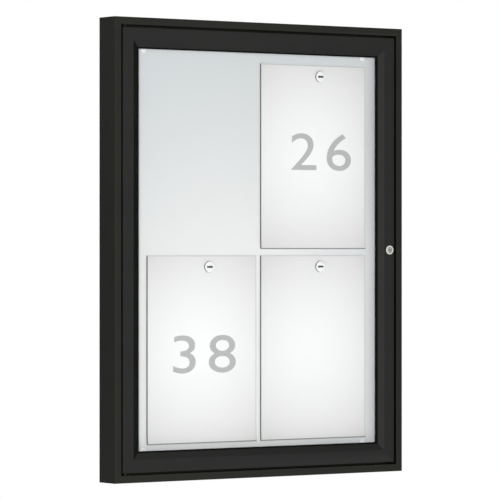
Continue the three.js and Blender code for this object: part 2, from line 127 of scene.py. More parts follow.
ambient_strength = 0.14
studio = bpy.data.worlds.new("studio")
studio.use_nodes = True
tree = studio.node_tree
tree.nodes.clear()
surround = add_node(tree, "ShaderNodeBackground", {"Color": linear("ffffff"), "Strength": 1.0})
ambient = add_node(tree, "ShaderNodeBackground", {
    "Color": linear("f8f8f9"), "Strength": ambient_strength})
ray = add_node(tree, "ShaderNodeLightPath")
camera_or_glossy = add_node(tree, "ShaderNodeMath", {"operation": "MAXIMUM"}, {
    0: ray.outputs["Is Camera Ray"], 1: ray.outputs["Is Glossy Ray"]})
seen = add_node(tree, "ShaderNodeMath", {"operation": "MAXIMUM"}, {
    0: camera_or_glossy.outputs[0], 1: ray.outputs["Is Transmission Ray"]})
studio_light = add_node(tree, "ShaderNodeMixShader", None, {
    0: seen.outputs[0], 1: ambient.outputs[0], 2: surround.outputs[0]})
add_node(tree, "ShaderNodeOutputWorld", None, {"Surface": studio_light.outputs[0]})
bpy.context.scene.world = studio

floor_mottle_mm = 1000.0 / 6.0
floor_glow = 0.7
floor_drop = 1.5
floor_side = 12.0
board_middle = (0.0, 0.0, 0.0)
pale_floor, tree, coords = empty_material("pale_painted_floor")
floor_mottle = add_node(tree, "ShaderNodeTexNoise", {
    "Scale": 1000.0 / floor_mottle_mm, "Detail": 3.0}, {"Vector": coords})
floor_tint = add_node(tree, "ShaderNodeMix", {
    "data_type": "RGBA", 6: linear("f4f5f5"), 7: linear("fafafa")},
    {0: floor_mottle.outputs["Fac"]})
floor_paint = add_node(tree, "ShaderNodeBsdfPrincipled", {
    "Roughness": 0.7, "Emission Color": linear("ffffff"), "Emission Strength": floor_glow},
    {"Base Color": floor_tint.outputs[2]})
floor_facing = add_node(tree, "ShaderNodeNewGeometry")
floor_ray = add_node(tree, "ShaderNodeLightPath")
seen_from_below = add_node(tree, "ShaderNodeMath", {"operation": "MULTIPLY"}, {
    0: floor_facing.outputs["Backfacing"], 1: floor_ray.outputs["Is Camera Ray"]})
clear_away = add_node(tree, "ShaderNodeBsdfTransparent")
one_sided = add_node(tree, "ShaderNodeMixShader", None, {
    0: seen_from_below.outputs[0], 1: floor_paint.outputs[0], 2: clear_away.outputs[0]})
add_node(tree, "ShaderNodeOutputMaterial", None, {"Surface": one_sided.outputs[0]})
stage_card("studio_floor", floor_side, floor_side, (0.0, 0.0, -floor_drop), board_middle,
           pale_floor)

felt_mm = 2.5
dark_card, tree, coords = empty_material("dark_felt_card")
felt = add_node(tree, "ShaderNodeTexNoise", {"Scale": 1000.0 / felt_mm, "Detail": 2.0},
                {"Vector": coords})
felt_tint = add_node(tree, "ShaderNodeMix", {
    "data_type": "RGBA", 6: linear("0c0c0c"), 7: linear("141414")}, {0: felt.outputs["Fac"]})
felt_face = add_node(tree, "ShaderNodeBsdfPrincipled", {
    "Roughness": 0.95, "Specular IOR Level": 0.1}, {"Base Color": felt_tint.outputs[2]})
add_node(tree, "ShaderNodeOutputMaterial", None, {"Surface": felt_face.outputs[0]})

# Each card's width and height, its place, and the point that it faces
shade_cards = {
    "right_shade_card": (3.1, 2.4, (2.5, -0.55, 0.0), (0.0, -0.55, 0.0)),
    "rear_shade_card": (1.6, 2.0, (-1.7, 2.05, 0.0), (-0.28, 0.0, 0.0)),
    "upper_shade_card": (2.7, 2.7, (1.6, -0.6, 2.2), board_middle),
}
for name, (width, height, place, target) in shade_cards.items():
    shade_card = stage_card(name, width, height, place, target, dark_card)
    shade_card.visible_camera = False
    shade_card.visible_diffuse = False
    shade_card.visible_transmission = False
    shade_card.visible_shadow = False

key_lamp = soft_lamp("key_lamp", side=1.4, watts=35.5, place=(-4.0, -5.75, 0.2),
                     target=board_middle)
key_lamp.data.spread = math.radians(60.0)
key_lamp.visible_glossy = False
soft_lamp("front_lamp", side=2.0, watts=7.5, place=(-0.3, -2.8, 0.0), target=board_middle)


# Casing: four rails of extruded aluminium, mitred at the corners and pulled tight by the cleats in
# them. Their coat is a baked black-brown polyester powder: even, fine in grain, satin in shine.
def powder_coat(name, dark, light, roughness):
    """Baked polyester powder on aluminium. Its real grain is under half a millimetre across, so it
    is drawn about three times as coarse, and very shallow, to show at all."""
    grain_mm = 1.3
    cloud_mm = 60.0
    grain_height_mm = 0.02
    grain_share = 0.4
    darkest = 0.45
    lightest = 0.95
    smoother = 0.04
    rougher = 0.06
    material, tree, coords = empty_material(name)
    grain = add_node(tree, "ShaderNodeTexNoise", {"Scale": 1000.0 / grain_mm, "Detail": 2.0},
                     {"Vector": coords})
    cloud = add_node(tree, "ShaderNodeTexNoise", {"Scale": 1000.0 / cloud_mm, "Detail": 2.0},
                     {"Vector": coords})
    both = add_node(tree, "ShaderNodeMath", {"operation": "MULTIPLY_ADD", 1: grain_share},
                    {0: grain.outputs["Fac"], 2: cloud.outputs["Fac"]})
    share = add_node(tree, "ShaderNodeMapRange", {"From Min": darkest, "From Max": lightest},
                     {"Value": both.outputs[0]})
    tint = add_node(tree, "ShaderNodeMix", {
        "data_type": "RGBA", 6: linear(dark), 7: linear(light)}, {0: share.outputs[0]})
    shine = add_node(tree, "ShaderNodeMapRange", {
        "To Min": roughness - smoother, "To Max": roughness + rougher},
        {"Value": grain.outputs["Fac"]})
    relief = add_node(tree, "ShaderNodeBump", {
        "Strength": 1.0, "Distance": grain_height_mm / 1000.0}, {"Height": grain.outputs["Fac"]})
    coat = add_node(tree, "ShaderNodeBsdfPrincipled", {"IOR": 1.5, "Specular IOR Level": 0.29}, {
        "Base Color": tint.outputs[2], "Roughness": shine.outputs[0],
        "Normal": relief.outputs[0]})
    add_node(tree, "ShaderNodeOutputMaterial", None, {"Surface": coat.outputs[0]})
    return material


sharp_angle = math.radians(30.0)


def round_edges(piece, radius_mm, by_weight=False):
    """Rounds a piece's sharp edges, or only those that carry a bevel weight, and keeps its flats
    flat."""
    rounding = piece.modifiers.new("rounded_edges", "BEVEL")
    rounding.width = radius_mm / 1000.0
    rounding.segments = 3
    rounding.limit_method = "WEIGHT" if by_weight else "ANGLE"
    rounding.angle_limit = sharp_angle
    rounding.loop_slide = False
    flats = piece.modifiers.new("flat_faces", "WEIGHTED_NORMAL")
    flats.weight = 100
    flats.keep_sharp = True


def new_piece(name, bm, material, body, node=None, round_mm=0.0):
    """Turns a finished bmesh into a smooth piece that rides on a body and stands for its CAD node,
    and rounds its sharp edges."""
    for face in bm.faces:
        face.smooth = True
    mesh = bpy.data.meshes.new(name)
    bm.to_mesh(mesh)
    bm.free()
    mesh.materials.append(material)
    piece = bpy.data.objects.new(name, mesh)
    bpy.context.scene.collection.objects.link(piece)
    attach(piece, body)
    if node:
        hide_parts(node)
    if round_mm:
        round_edges(piece, round_mm)
    return piece


def joined_copy(node):
    """The node's own solid as a bmesh with shared corners and whole flat faces."""
    merge_distance = 1e-6
    flat_angle = math.radians(1.0)
    bm = bmesh.new()
    bm.from_mesh(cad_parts[node].data)
    bmesh.ops.remove_doubles(bm, verts=bm.verts[:], dist=merge_distance)
    bmesh.ops.dissolve_limit(bm, angle_limit=flat_angle, verts=bm.verts[:], edges=bm.edges[:])
    return bm


def extruded_rail(node, material, body, edge_mm, corner_mm):
    """A mitred rail with rounded long edges, and a larger round, corner_mm, at its outer front
    corner. The mitres stay sharp and close to a hairline."""
    mitre_closing = 0.00018
    shortest_long_edge = 0.1
    same_place = 1e-6
    at_mitre = 1e-5
    low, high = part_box(node)
    along = 0 if high.x - low.x > high.z - low.z else 2
    across = 2 - along
    reach = (high[along] - low[along]) / 2.0
    outer = max(high[across], low[across], key=abs)
    bm = joined_copy(node)
    weights = bm.edges.layers.float.new("bevel_weight_edge")
    for edge in bm.edges:
        first, second = (vert.co for vert in edge.verts)
        straight = abs(first[across] - second[across]) < same_place
        if straight and edge.calc_length() > shortest_long_edge:
            at_outside = abs(first[across] - outer) < same_place
            at_front = abs(first.y - low.y) < same_place
            edge[weights] = 1.0 if at_outside and at_front else edge_mm / corner_mm
        else:
            edge.smooth = edge.calc_face_angle(0.0) < sharp_angle
    for vert in bm.verts:
        mitre_end = reach - abs(outer) + abs(vert.co[across])
        if abs(abs(vert.co[along]) - mitre_end) < at_mitre:
            vert.co[along] += math.copysign(mitre_closing, vert.co[along])
    rail = new_piece("coated_" + node, bm, material, body, node)
    round_edges(rail, corner_mm, by_weight=True)


rails = ["top_rail", "bottom_rail", "left_stile", "right_stile"]
casing_edge_mm = 0.5
casing_corner_mm = 1.2
casing_coat = powder_coat("powder_coated_casing", "0f0f09", "13130d", 0.4)
for rail in rails:
    extruded_rail("casing_" + rail, casing_coat, "root",
                  casing_edge_mm, casing_corner_mm)

# Door frame: the same extruded aluminium in the same coat, a touch smoother, with a bevel that
# leads in to the glass. It is mitred and pulled tight by cleats like the casing.
door_edge_mm = 0.4
door_corner_mm = 0.9
door_coat = powder_coat("powder_coated_door", "0d0f0c", "111310", 0.35)
for rail in rails:
    extruded_rail("door_" + rail, door_coat, "door", door_edge_mm, door_corner_mm)

# Glazing beads: four thin aluminium strips in the same coat that clip into the door frame from
# behind and press the glass on its gasket.
bead_edge_mm = 0.2
bead_corner_mm = 0.3
for side in ("top", "bottom", "left", "right"):
    extruded_rail("glazing_bead_" + side, door_coat, "door",
                  bead_edge_mm, bead_corner_mm)


# Corner cleats: die-cast aluminium angles inside the chambers of the rails, left as they come from
# the mould, with a dull and slightly pitted skin.
def copied_piece(name, node, material, body, round_mm):
    """A piece with the shape of its CAD node and rounded edges."""
    new_piece(name, joined_copy(node), material, body, node, round_mm)


cast_skin_mm = 2.0
cast_height_mm = 0.06
cleat_edge_mm = 0.6
corners = ["top_left", "top_right", "bottom_left", "bottom_right"]
cast_aluminium, tree, coords = empty_material("die_cast_aluminium")
skin = add_node(tree, "ShaderNodeTexNoise", {"Scale": 1000.0 / cast_skin_mm, "Detail": 4.0},
                {"Vector": coords})
skin_tint = add_node(tree, "ShaderNodeMix", {
    "data_type": "RGBA", 6: linear("85878a"), 7: linear("a6a8aa")}, {0: skin.outputs["Fac"]})
skin_relief = add_node(tree, "ShaderNodeBump", {
    "Strength": 1.0, "Distance": cast_height_mm / 1000.0}, {"Height": skin.outputs["Fac"]})
casting = add_node(tree, "ShaderNodeBsdfPrincipled", {"Metallic": 1.0, "Roughness": 0.5}, {
    "Base Color": skin_tint.outputs[2], "Normal": skin_relief.outputs[0]})
add_node(tree, "ShaderNodeOutputMaterial", None, {"Surface": casting.outputs[0]})
for corner in corners:
    for frame_part, body in (("casing", "root"), ("door", "door")):
        cleat_node = frame_part + "_cleat_" + corner
        copied_piece("cast_" + cleat_node, cleat_node, cast_aluminium, body,
                     cleat_edge_mm)

# Panel: sheet steel with a baked white enamel, on which magnets hold. The enamel is smooth, a
# little wavy and softly glossy. Painted shade makes it greyer and cooler towards the panel's
# edges, away from a point a little left of and below its middle.
enamel_wave_mm = 35.0
enamel_wave_height_mm = 0.05
painted_shade_centre = (-0.04, 0.0, -0.11)
painted_shade_start = 0.05
painted_shade_end = 0.46
panel_edge_mm = 0.15
white_enamel, tree, coords = empty_material("baked_white_enamel")
wave = add_node(tree, "ShaderNodeTexNoise", {"Scale": 1000.0 / enamel_wave_mm, "Detail": 1.0},
                {"Vector": coords})
# Painted shade: the enamel's colour turns greyer and cooler with distance from this point.
off_centre = add_node(tree, "ShaderNodeVectorMath", {"operation": "DISTANCE", 1: painted_shade_centre},
                      {0: coords})
painted_shade_share = add_node(tree, "ShaderNodeMapRange", {
    "interpolation_type": "SMOOTHSTEP", "From Min": painted_shade_start,
    "From Max": painted_shade_end}, {"Value": off_centre.outputs["Value"]})
enamel_and_painted_shade = add_node(tree, "ShaderNodeMix", {
    "data_type": "RGBA", 6: linear("ececec"), 7: linear("d1d6d8")}, {0: painted_shade_share.outputs[0]})
enamel_relief = add_node(tree, "ShaderNodeBump", {
    "Strength": 1.0, "Distance": enamel_wave_height_mm / 1000.0}, {"Height": wave.outputs["Fac"]})
enamel = add_node(tree, "ShaderNodeBsdfPrincipled", {
    "Roughness": 0.4, "IOR": 1.5, "Specular IOR Level": 0.3}, {
    "Base Color": enamel_and_painted_shade.outputs[2], "Normal": enamel_relief.outputs[0]})
add_node(tree, "ShaderNodeOutputMaterial", None, {"Surface": enamel.outputs[0]})
copied_piece("enamelled_panel", "magnetic_panel", white_enamel, "root",
             panel_edge_mm)

# Backing board: wood chips pressed and glued to a board, which stiffens the panel. It shows only at
# its cut edges and in its holes, when the case is apart.
chip_mm = 4.0
chip_height_mm = 0.3
board_edge_mm = 0.4
pressed_chips, tree, coords = empty_material("pressed_wood_chips")
chips = add_node(tree, "ShaderNodeTexVoronoi", {"Scale": 1000.0 / chip_mm}, {"Vector": coords})
chip_share = add_node(tree, "ShaderNodeSeparateColor", None, {"Color": chips.outputs["Color"]})
chip_tint = add_node(tree, "ShaderNodeMix", {
    "data_type": "RGBA", 6: linear("8f7145"), 7: linear("c4a87b")}, {0: chip_share.outputs[0]})
chip_relief = add_node(tree, "ShaderNodeBump", {
    "Strength": 1.0, "Distance": chip_height_mm / 1000.0}, {"Height": chips.outputs["Distance"]})
chip_face = add_node(tree, "ShaderNodeBsdfPrincipled", {"Roughness": 0.9}, {
    "Base Color": chip_tint.outputs[2], "Normal": chip_relief.outputs[0]})
add_node(tree, "ShaderNodeOutputMaterial", None, {"Surface": chip_face.outputs[0]})
copied_piece("chip_backing_board", "backing_board", pressed_chips, "root",
             board_edge_mm)

# Rear cover: hot-dip galvanised sheet steel, let into the back of the casing. The zinc froze in
# flat crystals a centimetre or two across, each with its own shade and shine.
spangle_mm = 13.0
spangle_bend_mm = 6.0
cover_edge_mm = 0.2
galvanised_sheet, tree, coords = empty_material("hot_dip_galvanised_sheet")
bend = add_node(tree, "ShaderNodeTexNoise", {"Scale": 1000.0 / spangle_mm, "Detail": 2.0},
                {"Vector": coords})
bent = add_node(tree, "ShaderNodeVectorMath", {
    "operation": "MULTIPLY_ADD", 1: (spangle_bend_mm / 1000.0,) * 3},
    {0: bend.outputs["Color"], 2: coords})
spangle = add_node(tree, "ShaderNodeTexVoronoi", {"Scale": 1000.0 / spangle_mm},
                   {"Vector": bent.outputs[0]})
crystal = add_node(tree, "ShaderNodeSeparateColor", None, {"Color": spangle.outputs["Color"]})
zinc_tint = add_node(tree, "ShaderNodeMix", {
    "data_type": "RGBA", 6: linear("8e9599"), 7: linear("b7bdc1")}, {0: crystal.outputs[0]})
zinc_shine = add_node(tree, "ShaderNodeMapRange", {"To Min": 0.38, "To Max": 0.56},
                      {"Value": crystal.outputs[1]})
zinc = add_node(tree, "ShaderNodeBsdfPrincipled", {"Metallic": 1.0}, {
    "Base Color": zinc_tint.outputs[2], "Roughness": zinc_shine.outputs[0]})
add_node(tree, "ShaderNodeOutputMaterial", None, {"Surface": zinc.outputs[0]})
copied_piece("galvanised_rear_cover", "rear_cover", galvanised_sheet, "root",
             cover_edge_mm)


# Rear cover's screws: countersunk steel screws with a cross recess, which bite in the casing's lip.
# They are turned, then plated with a thin bright zinc, whose faint streaks are drawn coarser than
# they are.
def turned_shell(profile, steps=64):
    """Spins [radius, distance] pairs, in millimetres, once round the Y axis."""
    merge_distance = 1e-7
    bm = bmesh.new()
    points = [bm.verts.new((radius / 1000.0, distance / 1000.0, 0.0))
              for radius, distance in profile]
    edges = [bm.edges.new(pair) for pair in zip(points, points[1:])]
    bmesh.ops.spin(bm, geom=points + edges, cent=(0.0, 0.0, 0.0), axis=(0.0, 1.0, 0.0),
                   dvec=(0.0, 0.0, 0.0), angle=math.tau, steps=steps, use_merge=True,
                   use_normal_flip=False, use_duplicate=False)
    bmesh.ops.remove_doubles(bm, verts=bm.verts[:], dist=merge_distance)
    return bm


def continue_shell(bm, rings):
    """Goes on from a shell's open round end through outlines of [across, up] millimetres, each at
    a distance along the Y axis, the first of them level with the open end, and closes the last."""
    same_level = 1e-7
    level = rings[0][1]
    rim = [edge for edge in bm.edges
           if edge.is_boundary and abs(edge.verts[0].co.y - level / 1000.0) < same_level]
    for outline, distance in rings:
        points = [bm.verts.new((across / 1000.0, distance / 1000.0, up / 1000.0))
                  for across, up in outline]
        loop = [bm.edges.new((points[i - 1], points[i])) for i in range(len(points))]
        if distance == level:
            bmesh.ops.triangle_fill(bm, edges=rim + loop, use_beauty=True, normal=(0.0, 1.0, 0.0))
        else:
            bmesh.ops.bridge_loops(bm, edges=rim + loop)
        level = distance
        rim = loop
    bm.faces.new(points)


def settle(bm, middle):
    """Turns the faces out and puts the shell at its place."""
    bmesh.ops.recalc_face_normals(bm, faces=bm.faces[:])
    bmesh.ops.translate(bm, verts=bm.verts[:], vec=middle)


def front_middle(node):
    """The middle of a node's box across and up, at its front."""
    low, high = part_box(node)
    return Vector(((low.x + high.x) / 2.0, low.y, (low.z + high.z) / 2.0))


def thread(radius_mm, start_mm, end_mm, pitch_mm, depth_mm):
    """The flanks of a thread, drawn as close rings, from one distance to another."""
    flanks = []
    for turn in range(int((end_mm - start_mm) / pitch_mm)):
        flanks.append((radius_mm - depth_mm, start_mm + turn * pitch_mm))
        flanks.append((radius_mm, start_mm + (turn + 0.5) * pitch_mm))
    return flanks


def cross(reach_mm, arm_mm):
    """The outline of a cross recess."""
    arm = arm_mm / 2.0
    quarter = [(reach_mm, -arm), (reach_mm, arm), (arm, arm)]
    turns = [(1, 0, 0, 1), (0, -1, 1, 0), (-1, 0, 0, -1), (0, 1, -1, 0)]
    return [(a * x + b * z, c * x + d * z) for a, b, c, d in turns for x, z in quarter]


streak_mm = 1.5
zinc_plate, tree, coords = empty_material("bright_zinc_plated_steel")
streaks = add_node(tree, "ShaderNodeTexNoise", {"Scale": 1000.0 / streak_mm, "Detail": 3.0},
                   {"Vector": coords})
plate_tint = add_node(tree, "ShaderNodeMix", {
    "data_type": "RGBA", 6: linear("a4a7a9"), 7: linear("c4c6c8")}, {0: streaks.outputs["Fac"]})
plate_shine = add_node(tree, "ShaderNodeMapRange", {"To Min": 0.22, "To Max": 0.38},
                       {"Value": streaks.outputs["Fac"]})
plate = add_node(tree, "ShaderNodeBsdfPrincipled", {"Metallic": 1.0}, {
    "Base Color": plate_tint.outputs[2], "Roughness": plate_shine.outputs[0]})
add_node(tree, "ShaderNodeOutputMaterial", None, {"Surface": plate.outputs[0]})

cover_screws = 6
screw_steps = 40
screw_length_mm = 10.0
screw_neck_mm = 8.8
screw_head_radius_mm = 3.2
screw_head_edge_mm = 0.08
screw_shank_radius_mm = 1.5
screw_tip_radius_mm = 0.6
screw_tip_mm = 0.8
screw_pitch_mm = 0.8
screw_thread_mm = 0.35
screw_round_mm = 0.05
recess_depth_mm = 0.8
recess_mouth = cross(reach_mm=1.55, arm_mm=0.7)
recess_floor = cross(reach_mm=1.0, arm_mm=0.5)
for number in range(1, cover_screws + 1):
    screw_node = "rear_cover_screw_" + str(number)
    shank = thread(screw_shank_radius_mm, screw_tip_mm, screw_neck_mm, screw_pitch_mm,
                   screw_thread_mm)
    screw = turned_shell([(0.0, 0.0), (screw_tip_radius_mm, 0.0), *shank,
                          (screw_shank_radius_mm, screw_neck_mm),
                          (screw_head_radius_mm, screw_length_mm - screw_head_edge_mm),
                          (screw_head_radius_mm, screw_length_mm)], screw_steps)
    continue_shell(screw, [(recess_mouth, screw_length_mm),
                           (recess_floor, screw_length_mm - recess_depth_mm)])
    settle(screw, front_middle(screw_node))
    new_piece("cross_" + screw_node, screw, zinc_plate, "root", screw_node, screw_round_mm)

# Wall fixings: steel sleeves between the panel and the wall that take the pull of the wall screws,
# and a domed cap over each screw, pressed in by its stem. The caps are moulded white polypropylene,
# satin, with a faint mottle that is drawn coarser than it is.
sleeve_wall_mm = 1.5
cap_head_mm = 1.2
cap_dome_mm = 0.35
cap_dome_shares = [(0.0, 0.0), (0.45, 0.2), (0.85, 1.0), (1.0, 2.0)]
cap_stem_radius_mm = 3.2
cap_stem_end_mm = 9.2
plastic_mottle_mm = 1.2
fixing_round_mm = 0.2
white_plastic, tree, coords = empty_material("moulded_white_polypropylene")
mottle = add_node(tree, "ShaderNodeTexNoise", {
    "Scale": 1000.0 / plastic_mottle_mm, "Detail": 2.0}, {"Vector": coords})
plastic_tint = add_node(tree, "ShaderNodeMix", {
    "data_type": "RGBA", 6: linear("f0f2f3"), 7: linear("f8f9f9")}, {0: mottle.outputs["Fac"]})
plastic = add_node(tree, "ShaderNodeBsdfPrincipled", {"Roughness": 0.36, "IOR": 1.49},
                   {"Base Color": plastic_tint.outputs[2]})
add_node(tree, "ShaderNodeOutputMaterial", None, {"Surface": plastic.outputs[0]})
for corner in corners:
    sleeve_node = "wall_fixing_sleeve_" + corner
    low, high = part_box(sleeve_node)
    outer_mm = 500.0 * (high.x - low.x)
    inner_mm = outer_mm - sleeve_wall_mm
    length_mm = 1000.0 * (high.y - low.y)
    sleeve = turned_shell([(inner_mm, 0.0), (outer_mm, 0.0), (outer_mm, length_mm),
                           (inner_mm, length_mm), (inner_mm, 0.0)])
    settle(sleeve, front_middle(sleeve_node))
    new_piece("plated_" + sleeve_node, sleeve, zinc_plate, "root", sleeve_node,
              fixing_round_mm)

    cap_node = "wall_fixing_cap_" + corner
    low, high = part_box(cap_node)
    radius_mm = 500.0 * (high.x - low.x)
    dome = [(out * radius_mm, back * cap_dome_mm) for out, back in cap_dome_shares]
    cap = turned_shell([*dome, (radius_mm, cap_head_mm), (cap_stem_radius_mm, cap_head_mm),
                        (cap_stem_radius_mm, cap_stem_end_mm), (0.0, cap_stem_end_mm)])
    settle(cap, front_middle(cap_node))
    new_piece("domed_" + cap_node, cap, white_plastic, "root", cap_node,
              fixing_round_mm)

# Rubber: the seal on the casing's flange and the two gaskets that grip the glass, extruded EPDM
# with a matt skin. Its fine drawing lines are drawn a few times as coarse as they are.
drawing_mm = 0.9
drawing_height_mm = 0.02
rubber_edge_mm = 0.2
black_rubber, tree, coords = empty_material("extruded_epdm_rubber")
lines = add_node(tree, "ShaderNodeTexNoise", {"Scale": 1000.0 / drawing_mm, "Detail": 2.0},
                 {"Vector": coords})
rubber_tint = add_node(tree, "ShaderNodeMix", {
    "data_type": "RGBA", 6: linear("060606"), 7: linear("0b0b0b")}, {0: lines.outputs["Fac"]})
rubber_relief = add_node(tree, "ShaderNodeBump", {
    "Strength": 1.0, "Distance": drawing_height_mm / 1000.0}, {"Height": lines.outputs["Fac"]})
rubber = add_node(tree, "ShaderNodeBsdfPrincipled", {"Roughness": 0.8, "Specular IOR Level": 0.1}, {
    "Base Color": rubber_tint.outputs[2], "Normal": rubber_relief.outputs[0]})
add_node(tree, "ShaderNodeOutputMaterial", None, {"Surface": rubber.outputs[0]})
rubber_bodies = {"door_seal": "root", "glass_front_gasket": "door", "glass_rear_gasket": "door"}
for rubber_node, body in rubber_bodies.items():
    copied_piece("epdm_" + rubber_node, rubber_node, black_rubber, body,
                 rubber_edge_mm)

# Glass: four millimetres of clear toughened float glass, flat and almost without tint. Light that
# falls in from the lamps goes straight through it, so the notices are lit as in an open case.
roller_wave_mm = 1000.0 / 9.0
glass_edge_mm = 0.4
clear_glass, tree, coords = empty_material("clear_toughened_glass")
roller_wave = add_node(tree, "ShaderNodeTexNoise", {
    "Scale": 1000.0 / roller_wave_mm, "Detail": 0.0}, {"Vector": coords})
glass_tint = add_node(tree, "ShaderNodeMix", {
    "data_type": "RGBA", 6: linear("fdfefd"), 7: linear("fefefe")},
    {0: roller_wave.outputs["Fac"]})
pane = add_node(tree, "ShaderNodeBsdfPrincipled", {
    "Roughness": 0.0, "IOR": 1.5, "Transmission Weight": 1.0},
    {"Base Color": glass_tint.outputs[2]})
through = add_node(tree, "ShaderNodeBsdfTransparent", {"Color": linear("fdfdfd")})
lamp_path = add_node(tree, "ShaderNodeLightPath")
lamp_or_fill = add_node(tree, "ShaderNodeMath", {"operation": "MAXIMUM"}, {
    0: lamp_path.outputs["Is Shadow Ray"], 1: lamp_path.outputs["Is Diffuse Ray"]})
lit_pane = add_node(tree, "ShaderNodeMixShader", None, {
    0: lamp_or_fill.outputs[0], 1: pane.outputs[0], 2: through.outputs[0]})
add_node(tree, "ShaderNodeOutputMaterial", None, {"Surface": lit_pane.outputs[0]})
copied_piece("toughened_glass", "glass_pane", clear_glass, "door", glass_edge_mm)

# Pivot hinge: a zinc plated steel pin at each end turns in a bush in the door, and a washer in the
# gap carries the door's weight. Both are moulded black acetal, dull, with a faint mottle that is
# drawn coarser than it is.
acetal_mottle_mm = 1.0
pin_round_mm = 0.4
bush_round_mm = 0.15
bore_gap_mm = 0.2
black_acetal, tree, coords = empty_material("moulded_black_acetal")
mottle = add_node(tree, "ShaderNodeTexNoise", {
    "Scale": 1000.0 / acetal_mottle_mm, "Detail": 2.0}, {"Vector": coords})
acetal_tint = add_node(tree, "ShaderNodeMix", {
    "data_type": "RGBA", 6: linear("09090a"), 7: linear("0e0e0f")}, {0: mottle.outputs["Fac"]})
acetal = add_node(tree, "ShaderNodeBsdfPrincipled", {
    "Roughness": 0.5, "IOR": 1.48, "Specular IOR Level": 0.3},
    {"Base Color": acetal_tint.outputs[2]})
add_node(tree, "ShaderNodeOutputMaterial", None, {"Surface": acetal.outputs[0]})


def on_the_hinge(node, profile, material, body, round_mm):
    """A turned piece that stands upright on the hinge line, from the bottom of its node's box."""
    low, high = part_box(node)
    upright = Matrix.Rotation(math.radians(90.0), 3, "X")
    bm = turned_shell(profile)
    bmesh.ops.rotate(bm, verts=bm.verts[:], cent=(0.0, 0.0, 0.0), matrix=upright)
    settle(bm, ((low.x + high.x) / 2.0, (low.y + high.y) / 2.0, low.z))
    new_piece("turned_" + node, bm, material, body, node, round_mm)


for end in ("top", "bottom"):
    low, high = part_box("pivot_pin_" + end)
    pin_mm = 500.0 * (high.x - low.x)
    length_mm = 1000.0 * (high.z - low.z)
    pin_profile = [(0.0, 0.0), (pin_mm, 0.0), (pin_mm, length_mm), (0.0, length_mm)]
    on_the_hinge("pivot_pin_" + end, pin_profile, zinc_plate, "root", pin_round_mm)
    bore_mm = pin_mm + bore_gap_mm
    for rubbing_node, body in (("pivot_bush_" + end, "door"), ("pivot_washer_" + end, "root")):
        low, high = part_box(rubbing_node)
        outer_mm = 500.0 * (high.x - low.x)
        length_mm = 1000.0 * (high.z - low.z)
        ring_profile = [(bore_mm, 0.0), (outer_mm, 0.0), (outer_mm, length_mm),
                        (bore_mm, length_mm), (bore_mm, 0.0)]
        on_the_hinge(rubbing_node, ring_profile, black_acetal, body, bush_round_mm)

# Lock: a brass barrel with a turned flange, screwed through the stile into a threaded steel plate,
# and a plug in it, a little sunk and darker, with the slot for the key. Both are nickel plated, the
# barrel satin and the plug drawn darker and rougher, with turning marks drawn a few times as coarse
# as they are.
turning_mm = 0.5
barrel_radius_mm = 6.0
barrel_pitch_mm = 1.0
barrel_thread_mm = 0.4
thread_margin_mm = 0.5
plug_gap_mm = 0.2
flange_mm = 1.0
flange_chamfer_mm = 0.4
lock_round_mm = 0.12
satin_nickel, tree, coords = empty_material("satin_nickel_plated_brass")
turning = add_node(tree, "ShaderNodeTexNoise", {"Scale": 1000.0 / turning_mm, "Detail": 2.0},
                   {"Vector": coords})
nickel_tint = add_node(tree, "ShaderNodeMix", {
    "data_type": "RGBA", 6: linear("d2d2ce"), 7: linear("dfdfdc")}, {0: turning.outputs["Fac"]})
nickel_shine = add_node(tree, "ShaderNodeMapRange", {"To Min": 0.2, "To Max": 0.32},
                        {"Value": turning.outputs["Fac"]})
nickel = add_node(tree, "ShaderNodeBsdfPrincipled", {"Metallic": 1.0}, {
    "Base Color": nickel_tint.outputs[2], "Roughness": nickel_shine.outputs[0]})
add_node(tree, "ShaderNodeOutputMaterial", None, {"Surface": nickel.outputs[0]})
# The plug's nickel is drawn darker and rougher than the barrel's.
darker_nickel, tree, coords = empty_material("darker_nickel_plug")
plug_mottle = add_node(tree, "ShaderNodeTexNoise", {"Scale": 1000.0 / turning_mm, "Detail": 4.0},
                {"Vector": coords})
plug_tint = add_node(tree, "ShaderNodeMix", {
    "data_type": "RGBA", 6: linear("a0a09c"), 7: linear("c2c2be")}, {0: plug_mottle.outputs["Fac"]})
plug_shine = add_node(tree, "ShaderNodeMapRange", {"To Min": 0.3, "To Max": 0.5},
                      {"Value": plug_mottle.outputs["Fac"]})
plug_nickel = add_node(tree, "ShaderNodeBsdfPrincipled", {"Metallic": 1.0}, {
    "Base Color": plug_tint.outputs[2], "Roughness": plug_shine.outputs[0]})
add_node(tree, "ShaderNodeOutputMaterial", None, {"Surface": plug_nickel.outputs[0]})

barrel_low, barrel_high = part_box("lock_barrel")
plug_low, plug_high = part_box("lock_plug")
flange_radius_mm = 500.0 * (barrel_high.x - barrel_low.x)
barrel_mm = 1000.0 * (barrel_high.y - barrel_low.y)
plug_radius_mm = 500.0 * (plug_high.x - plug_low.x)
bore_mm = plug_radius_mm + plug_gap_mm
barrel_flanks = thread(barrel_radius_mm, flange_mm + thread_margin_mm, barrel_mm - thread_margin_mm,
                       barrel_pitch_mm, barrel_thread_mm)
barrel = turned_shell([
    (bore_mm, 0.0), (flange_radius_mm - flange_chamfer_mm, 0.0),
    (flange_radius_mm, flange_chamfer_mm), (flange_radius_mm, flange_mm),
    (barrel_radius_mm, flange_mm), *barrel_flanks,
    (barrel_radius_mm - barrel_thread_mm, barrel_mm), (bore_mm, barrel_mm), (bore_mm, 0.0)])
settle(barrel, front_middle("lock_barrel"))
new_piece("nickel_lock_barrel", barrel, satin_nickel, "door", "lock_barrel",
          lock_round_mm)


def rectangle(width_mm, height_mm):
    """The outline of a rectangle about the middle."""
    return [(x * width_mm / 2.0, z * height_mm / 2.0)
            for x, z in ((-1, -1), (1, -1), (1, 1), (-1, 1))]


